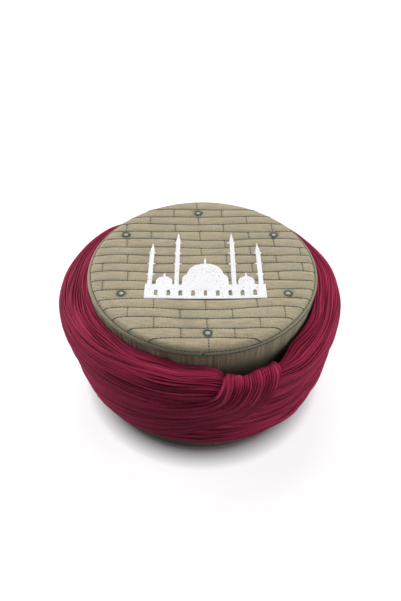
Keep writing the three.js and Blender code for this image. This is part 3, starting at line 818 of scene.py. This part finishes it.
def row_stitches():
    runs = []
    edge = CROWN_RADIUS - EDGE_STITCH_INSET
    first, last = math.ceil((-edge - ROW_OFFSET) / ROW_PITCH), math.floor((edge - ROW_OFFSET) / ROW_PITCH)
    for row in range(first, last + 1):
        if abs(seam_y(row)) > edge - 6:
            continue
        half = math.sqrt(CROWN_RADIUS**2 - seam_y(row) ** 2)
        x = np.linspace(-half, half, 500)
        y = seam_line(row, x)
        inside = outside_ring(x, y) < 0
        x, y = x[inside], y[inside]
        z = crown_base(x, y) + crown_height(x, y, row + 0 * x, 0 * x) + 0.17
        runs.append(stitch_run(np.stack([x, y, z], -1), upwards(len(x)), ROW_STITCH, row + 40))
    return runs


def joint_stitches():
    runs = []
    for row in range(-9, 9):
        for place in joints_of(row):
            t = np.linspace(0.04, 0.96, 30)
            y = lerp(seam_line(row, place), seam_line(row + 1, place), t)
            x = place + QUILT_SKEW * (y - seam_y(row + 0.5))
            inside = outside_ring(x, y) < -0.4
            x, y, t = x[inside], y[inside], t[inside]
            line = np.stack([x, y, crown_base(x, y) + crown_height(x, y, row + 0 * x, t) + 0.1], -1)
            seed = int(place * 10 + row) % 1000 + 5000
            runs.append(stitch_run(line, upwards(len(x)), JOINT_STITCH, seed))
    return runs


def ring_stitches():
    a = np.linspace(0, 2 * math.pi, 800)
    ring = ring_radius(a) + 0.15 * waves(5, a, highest=6)
    x, y = ring * np.sin(a), -ring * np.cos(a)
    line = np.stack([x, y, crown_base(x, y) + edge_relief(x, y) + 0.05], -1)
    return stitch_run(line, outwards(a) * 0.5 + (0, 0, 0.87), RING_STITCH, 3)


def front_seam_stitches():
    """The seam that closes the crown onto the side shows across the front."""
    a = np.radians(np.linspace(*FRONT_SEAM, 300))
    height = SEAM_HEIGHT - FRONT_SEAM_DROP
    line = outwards(a) * shoulder_radius(height) + (0, 0, height)
    return stitch_run(line, outwards(a), FRONT_SEAM_STITCH, 4)


def build_quilt_stitches(material):
    stitches = join_runs([*row_stitches(), *joint_stitches(), ring_stitches(), front_seam_stitches()])
    middle = (stitches[0] + stitches[1]) / 2
    away = [np.hypot(middle[:, 0] - ex, middle[:, 1] - ey) for ex, ey in EYELET_PLACES]
    clear = np.min(away, axis=0) > EYELET_REACH
    points, faces = capsules(*(values[clear] for values in stitches), flatten=0.8)
    make_piece("quilting_thread", points, faces, material)


# Eyelets
def seed_of(name):
    return sum(ord(c) * (i + 3) for i, c in enumerate(name))


def build_eyelet(name, place, material):
    """Stitches from the hole outwards, and the purl round the hole."""
    rng = np.random.default_rng(seed_of(name))
    count = EYELET_STITCHES
    a = np.arange(count) * 2 * math.pi / count + rng.normal(0, 0.035, count)
    inner = EYELET_HOLE_RADIUS - 0.25 + rng.normal(0, 0.15, count)
    outer = EYELET_HOLE_RADIUS + EYELET_WIDTH - 0.7 + rng.normal(0, 0.42, count)
    starts, ends = hole_ring(place, inner, a, -0.1), hole_ring(place, outer, a + 0.1, -0.15)
    for line in (starts, ends):
        line[:, 2] += crown_base(line[:, 0], line[:, 1])
    points, faces = capsules(starts, ends, EYELET_STITCH_RADIUS, upwards(count), belly=1.5)
    turn = np.linspace(0, 2 * math.pi, 37)
    purl = hole_ring(place, EYELET_HOLE_RADIUS + 0.2, turn, crown_base(*place) + 0.05)
    more, quads = capsules(purl[:-1], purl[1:], PURL_RADIUS, upwards(36))
    faces = faces + [[i + len(points) for i in f] for f in quads]
    make_piece("sewn_" + name, np.concatenate([points, more]), faces, material, [name])


def build_interlining(name, place, material):
    """The interlining bulges up a little in the hole."""
    sides, rows = LINING_SIDES, len(LINING_RINGS)
    turn = np.arange(sides) * 2 * math.pi / sides
    disc = [hole_ring(place, radius, turn, crown_base(*place) + rise) for radius, rise in LINING_RINGS]
    middle, low = (rows - 2) * sides, (rows - 1) * sides
    ends = [[middle + i for i in range(sides)], [low + i for i in reversed(range(sides))]]
    faces = [*grid_faces(rows - 1, sides, closed=True), *ends]
    faces += [(low + i, low + (i + 1) % sides, (i + 1) % sides, i) for i in range(sides)]
    make_piece("interlining_" + name, np.concatenate(disc), faces, material)


# The motif
def motif_spans(x):
    """The parts of a vertical line at x that the motif covers."""
    half = MOTIF_WIDTH / 2
    if abs(x) > half + RING_OVERHANG:
        return []
    tops = [HALL_HEIGHT] if abs(x) <= half else [0]
    for across, base, radius in DOMES:
        off = (x - across * half) / (radius * half)
        if abs(off) < 1:
            tops.append(half * (base + radius * math.sqrt(1 - off * off)))
    for across, height in FINIALS:
        off = abs(x - across * half)
        if off < FINIAL_WIDTH / 2:
            tops.append(height * half - FINIAL_TIP * off / (FINIAL_WIDTH / 2))
    rings = []
    for across, height in TOWERS:
        off = abs(x - across * half)
        shoulder = height * half - TOWER_TIP
        if off < TOWER_WIDTH / 2:
            tops.append(shoulder + TOWER_TIP * (1 - off / (TOWER_WIDTH / 2)))
        elif off < TOWER_WIDTH / 2 + RING_OVERHANG:
            ring_tops = [shoulder - 1 - ring * RING_PITCH for ring in range(RING_COUNT)]
            rings += [(top - RING_HEIGHT * 0.8, top - RING_HEIGHT * 0.15) for top in ring_tops]
    spans = [(0, max(tops))] if max(tops) > 0 else []
    for i in range(WINDOW_COUNT):
        off = abs(x - half * WINDOW_SPREAD * (2 * i / (WINDOW_COUNT - 1) - 1))
        if off < WINDOW_WIDTH / 2:
            arch = WINDOW_HEIGHT + math.sqrt((WINDOW_WIDTH / 2) ** 2 - off**2)
            spans = [(0, WINDOW_SILL), (arch, spans[-1][1])]
    return spans + rings


def lay_on_crown(flat):
    """Points of the motif's drawing, on the quilted crown."""
    x, y = flat[:, 0] + MOTIF_X, flat[:, 1] + MOTIF_BASE_Y
    place = (y - ROW_OFFSET) / ROW_PITCH
    seam = (puff(place - np.floor(place)) - 1) * 0.3
    return np.column_stack([x, y, crown_base(x, y) + seam + MOTIF_LIFT])


def build_motif(material):
    """Satin stitches up and down, in staggered lengths."""
    rng = np.random.default_rng(8)
    starts, ends = [], []
    for i, x in enumerate(np.arange(-MOTIF_WIDTH / 2 - 1, MOTIF_WIDTH / 2 + 1, MOTIF_PITCH)):
        for low, high in motif_spans(x):
            cuts = [low, *np.arange(low + 0.9 + i % 4 * MOTIF_STITCH / 4, high - 0.7, MOTIF_STITCH), high]
            for a, b in zip(cuts[:-1], cuts[1:]):
                lean = rng.normal(0, 0.06)
                if rng.random() < 0.12 and b - a > 2.5:
                    b -= rng.uniform(0.4, 0.9)
                starts.append((x - lean, a + 0.12 + rng.uniform(0, 0.12)))
                ends.append((x + lean, b - 0.12 - rng.uniform(0, 0.12)))
    radii = rng.uniform(*MOTIF_RADII, len(starts))
    starts, ends = lay_on_crown(np.array(starts)), lay_on_crown(np.array(ends))
    points, faces = capsules(starts, ends, radii, upwards(len(starts)), sides=5, flatten=0.9, belly=1.25)
    make_piece("stitched_motif", points, faces, material, ["embroidered_motif"])


# The winding
SECTION = spline([(reach * WRAP_DEPTH, rise * (WRAP_TOP - WRAP_BOTTOM)) for rise, reach in WRAP_SECTION])
SECTION_RUN = distance_along(SECTION)
SECTION_LENGTH = SECTION_RUN[-1]


def wrap_surface(azimuth, share):
    """The winding's smooth surface: distance out from the cap and height."""
    down, angle = np.clip(share, 0, 1), np.radians(azimuth)
    x, y = (np.interp(down, SECTION_RUN / SECTION_LENGTH, SECTION[:, i]) for i in range(2))
    slant = lerp(WRAP_LEAN, WRAP_LOW_LEAN, ease(*LEAN_CHANGE, down))
    full = 1 - slant * np.sin(angle) - BACK_SLIM * ease(*BACK_START, -np.cos(angle))
    full = full - LEFT_BACK_SLIM * within(LEFT_BACK, (azimuth + 360) % 360 - 180)
    for amount, around, on_the_way in SWELLS:
        full = full + amount * within(around, azimuth) * within(on_the_way, down)
    fullest = WRAP_DEPTH * full
    stand = POCKET_WIDTH * within(POCKET, azimuth) / fullest * (1 - ease(*POCKET_END, down))
    out = fullest * stand + x * full * (1 - stand)
    out = out + EDGE_STAND * within(STANDING, azimuth) * (1 - ease(*STAND_END, down))
    height = WRAP_BOTTOM + y
    for depth, around, fading in EDGE_DIPS:
        height = height - depth * within(around, azimuth) * (1 - down) ** fading
    height = height + FRONT_RISE * within(RISEN, azimuth) * ease(*RISE_START, down)
    # shares below 0 go over the lip and down inside
    inside = np.maximum(-share, 0) * SECTION_LENGTH
    out = out - LIP_WIDTH / 2 * np.sin(np.minimum(inside / LIP_WIDTH, 1) * math.pi / 2)
    return out, height - np.maximum(inside - LIP_WIDTH / 2, 0)


def wrap_point(azimuth, share, lift):
    """Points at a height above the winding's smooth surface."""
    azimuth, share = np.broadcast_arrays(np.asarray(azimuth, float), np.asarray(share, float))
    step = 0.004
    out, height = wrap_surface(azimuth, share)
    after = wrap_surface(azimuth, share + step)
    before = wrap_surface(azimuth, share - step)
    run, fall = after[0] - before[0], after[1] - before[1]
    size = np.hypot(run, fall) + 1e-9
    return on_cap(azimuth, np.maximum(out - fall / size * lift, CAP_GAP), height + run / size * lift)


def valley(seed, angle, highest):
    """Depth of a fine pleat's valley along the cloth."""
    return 1.2 + 0.55 * np.clip(waves(seed, angle, highest=highest), -1.4, 1.6)


def pleat_rows(folds, per_fold, seed, highest):
    """Places and depths of a pleated surface's rows.

    folds is a list of (share, depth) arrays over the columns. Each span between two is split into per_fold
    fine pleats whose widths wander along the cloth, at most highest times over its length. Returns the rows'
    shares, their lifts (mostly below 0) and the number of each one's pleat.
    """
    columns = folds[0][0].size
    angle = np.linspace(0, 2 * math.pi, columns, endpoint=False)
    rows = []
    number = 0
    for (top, top_depth), (low, low_depth) in zip(folds[:-1], folds[1:]):
        seeds = [seed + 31 * (number + k) for k in range(per_fold)]
        widths = np.stack([np.exp(0.3 * waves(s, angle, highest=highest)) for s in seeds])
        edges = np.concatenate([np.zeros((1, columns)), np.cumsum(widths, 0)]) / widths.sum(0)
        for k in range(per_fold):
            first = top_depth if k == 0 else valley(seed + 7 * number, angle, highest)
            last = low_depth if k == per_fold - 1 else valley(seed + 7 * (number + 1), angle, highest)
            crest = 0.3 * waves(seed + 997 + number, angle, highest=highest) - 0.15
            width = (low - top) * (edges[k + 1] - edges[k]) * SECTION_LENGTH
            slim = np.clip(width / PLEAT_WIDTH, 0.3, 1)
            for t, rise in PLEAT_PROFILE:
                share = lerp(top, low, lerp(edges[k], edges[k + 1], t))
                floor = lerp(first, last, ease(0.25, 0.75, t)) * slim
                rows.append((share, crest * rise - floor * (1 - rise), number + 0 * angle))
            number += 1
    rows.append((folds[-1][0], -folds[-1][1], number + 0 * angle))
    return [np.stack(values) for values in zip(*rows)]


def wrap_folds(azimuth):
    """The winding's main folds: share of the way down and depth, over the azimuths."""
    angle = np.radians(azimuth)
    folds = []
    for number, (at, right, depth) in enumerate(WRAP_FOLDS):
        share = lerp(at, right, within(RIGHT_SWAY, azimuth))
        depths = 0 * angle
        if 0 < number < len(WRAP_FOLDS) - 1:
            share = share + 0.006 * waves(400 + number, angle, highest=5)
            wander = 0.75 + 0.45 * waves(500 + number, angle, highest=9)
            depths = FOLD_DEPTH * depth * np.clip(wander, 0.25, 1.35)
        if number == DEEPER_FOLD:
            depths = depths + 0.4 * within(DEEPER, azimuth)
        folds.append((share, depths))
    return folds


def pad_rows(values, before, after, constant=0.0):
    return np.pad(values, ((before, after), (0, 0)), constant_values=constant)


def build_wrap(material):
    front = np.arange(-WRAP_FRONT, WRAP_FRONT, FRONT_STEP)
    back = np.arange(WRAP_FRONT, 360 - WRAP_FRONT, BACK_STEP)
    azimuth = np.concatenate([front, np.where(back > 180, back - 360, back)])
    angle = np.radians(azimuth)
    shares, lifts, numbers = pleat_rows(wrap_folds(azimuth), WRAP_PLEATS, 40, 9)
    lifts = lifts * lerp(*PLEAT_DEPTHS, ease(0.3, 0.8, shares))
    # the lip and the pocket's wall above the first row, the underside below the last
    lip = np.array(LIP_SHARES)[:, None] + 0 * angle
    shares = np.concatenate([lip, shares])
    lifts = np.concatenate([0 * lip - 0.1, lifts])
    numbers = pad_rows(numbers, len(lip), 0)
    points = wrap_point(azimuth[None], shares, lifts)
    out, height = wrap_surface(azimuth, 1 + 0 * azimuth)
    against = CAP_GAP + 0 * angle
    points = np.concatenate([
        on_cap(azimuth, against, points[0, :, 2])[None],
        points,
        on_cap(azimuth, out - 1.6, height - 0.1)[None],
        on_cap(azimuth, against, height + 0.6)[None],
        on_cap(azimuth, against, WRAP_BOTTOM + 30.0)[None],
    ])
    faces = tube_faces(*points.shape[:2])
    # the row against the cap and the underside's rows get a fixed depth, which paints shade on them
    fold = np.stack([-pad_rows(lifts, 1, 3, -0.6), pad_rows(numbers, 1, 3)], -1)
    uv = np.stack(np.broadcast_arrays(angle[None] * CLOTH_RADIUS, distance_along(points)[:, None]), -1)
    piece = make_piece("wound_cloth", points, faces, material, ["wrap"], uv, fold)
    return piece


def sash_folds(angle):
    folds = [(0 * angle, 0 * angle)]
    for k in range(1, SASH_FOLDS):
        drift = 0.012 * waves(900 + k, angle, highest=2)
        folds.append((k / SASH_FOLDS + drift, 1.2 + 0.6 * waves(950 + k, angle, highest=3)))
    return [*folds, (0 * angle + 1, 0 * angle)]


def build_sash(material):
    """The tucked end: a pleated strip that sweeps up over the winding and goes down behind its lip."""
    along = np.linspace(0, 1, SASH_COLUMNS)
    stations = spline(SASH_STATIONS, SASH_COLUMNS)
    across, lifts, numbers = pleat_rows(sash_folds(along * 1.6 * math.pi), SASH_PLEATS, 77, 3)
    thinning = ease(0.5, 1.0, along)
    thickness = lerp(SASH_THICKNESS, -0.4, thinning)
    # its edges fall away, the right one in a wide round
    edge = np.minimum(ease(-0.01, 0.06, across), ease(-0.01, 0.05, 1 - across) ** 0.8)
    swell = 0.6 * np.sin(across * math.pi) * (1 - thinning)
    relief = lerp(0.2, 0.72, ease(0.1, 0.45, along))
    lift = SASH_CLEARANCE + edge * (thickness + swell + lifts * relief)

    def place(across, lift):
        azimuth = lerp(stations[:, 0], stations[:, 2], across)
        share = lerp(stations[:, 1], stations[:, 3], across)
        return wrap_point(azimuth, share, lift)

    outer = place(across, lift)
    inner_across = np.linspace(1, 0, SASH_INNER_ROWS)[:, None] + 0 * along
    inner_lift = np.minimum(SASH_CLEARANCE * 0.4, lift.min(0) - 0.6) + 0 * inner_across
    points = np.concatenate([outer, place(inner_across, inner_lift)])
    rows, columns = points.shape[:2]
    grid = point_grid(rows, columns)
    faces = [*grid_faces(rows, columns), *quads_between(grid[-1], grid[0]), grid[:, 0], grid[::-1, -1]]
    length, run = distance_along(outer[60]), distance_along(points)
    uv = np.stack(np.broadcast_arrays(length[None], run[:, None] + 400.0), -1)
    # depth for the painted shade in the pleats' valleys and highlight on their crests; the rows behind the
    # lip get a fixed depth, which paints shade on them
    deep = -pad_rows(lifts * (0.25 + 0.6 * relief), 0, SASH_INNER_ROWS, -0.6)
    fold = np.stack([deep, pad_rows(numbers + 60, 0, SASH_INNER_ROWS)], -1)
    piece = make_piece("tucked_sash", points, faces, material, ["tucked_end"], uv, fold)
    return piece


# Floor, lights and camera
def build_floor(material):
    """A floor that bends up into a round backdrop."""
    bend = np.radians(np.linspace(0, 90, 10))
    far = FLOOR_RADIUS + BEND_RADIUS
    reach = np.concatenate([[FLOOR_RADIUS / 2], FLOOR_RADIUS + BEND_RADIUS * np.sin(bend), [far]])
    climb = np.concatenate([[0.0], BEND_RADIUS * (1 - np.cos(bend)), [BACKDROP_HEIGHT]])[:, None]
    turn = np.radians(np.arange(FLOOR_SIDES) * 360 / FLOOR_SIDES)
    sweep = np.stack([reach[:, None] * np.sin(turn), reach[:, None] * np.cos(turn), climb + 0 * turn], -1)
    faces = [*grid_faces(len(reach), FLOOR_SIDES, closed=True), list(range(FLOOR_SIDES - 1, -1, -1))]
    floor = make_piece("floor", sweep, faces, material, body=None)
    floor.visible_shadow = False
    floor.visible_diffuse = False


def add_sun(name, towards, strength, spread):
    direction = Vector(towards).normalized()
    data = bpy.data.lights.new(name, "SUN")
    data.energy = strength * math.pi / direction.z
    data.angle = math.radians(spread)
    light = bpy.data.objects.new(name, data)
    light.rotation_euler = direction.to_track_quat("Z", "Y").to_euler()
    bpy.context.scene.collection.objects.link(light)


def light_world():
    world = bpy.data.worlds.new("studio")
    bpy.context.scene.world = world
    world.use_nodes = True
    background = world.node_tree.nodes["Background"]
    background.inputs["Color"].default_value = WHITE
    background.inputs["Strength"].default_value = WORLD_STRENGTH


def set_camera():
    data = bpy.data.cameras.new("camera")
    data.sensor_fit = "VERTICAL"
    data.sensor_height = SENSOR_HEIGHT
    data.lens = FOCAL_LENGTH / PHOTO_HEIGHT * SENSOR_HEIGHT
    camera = bpy.data.objects.new("camera", data)
    unit = CROWN_RADIUS * 0.001
    away, elevation = CAMERA_DISTANCE * unit, math.radians(CAMERA_ELEVATION)
    above = HEIGHT * 0.001 + away * math.sin(elevation)
    camera.location = (CAMERA_SIDE * unit, -away * math.cos(elevation), above)
    camera.rotation_euler = (math.radians(90 - CAMERA_PITCH), 0, 0)
    bpy.context.scene.collection.objects.link(camera)
    bpy.context.scene.camera = camera


wrap_cloth = muslin()
crown_cloth = cotton("khaki_cotton", KHAKI, KHAKI_DARK, recess_shade=KHAKI_RECESS_SHADE)
side_cloth = cotton("khaki_cotton_side", KHAKI_SIDE_SHADED, shaded(KHAKI_SIDE_SHADED, 0.72), ribs=0.15, hem=KHAKI_LOW_SHADE)
green_thread = thread("green_thread", THREAD_GREEN, THREAD_GREEN_LIGHT)
eyelet_thread = thread("eyelet_green_thread", THREAD_GREEN_LIGHT, THREAD_GREEN_WORN)
khaki_thread = thread("khaki_thread", shaded(KHAKI_SIDE_SHADED, 0.5), KHAKI_SIDE_SHADED)
interlining = cotton("pale_interlining", INTERLINING, shaded(INTERLINING, 0.85), ribs=0.15)
white_thread = thread("white_thread", THREAD_WHITE, THREAD_WHITE_LIGHT, roughness=0.42)

build_band(side_cloth, khaki_thread)
build_crown(crown_cloth)
build_quilt_stitches(green_thread)
for (eyelet_name, _, _), eyelet_centre in zip(EYELETS, EYELET_PLACES):
    build_eyelet(eyelet_name, eyelet_centre, eyelet_thread)
    build_interlining(eyelet_name, eyelet_centre, interlining)
build_motif(white_thread)
build_wrap(wrap_cloth)
build_sash(wrap_cloth)

build_floor(glowing_floor())
light_world()
for settings in SUNS:
    add_sun(*settings)
set_camera()
view = bpy.context.scene.view_settings
view.view_transform, view.look, view.exposure = "Standard", "None", 0.0
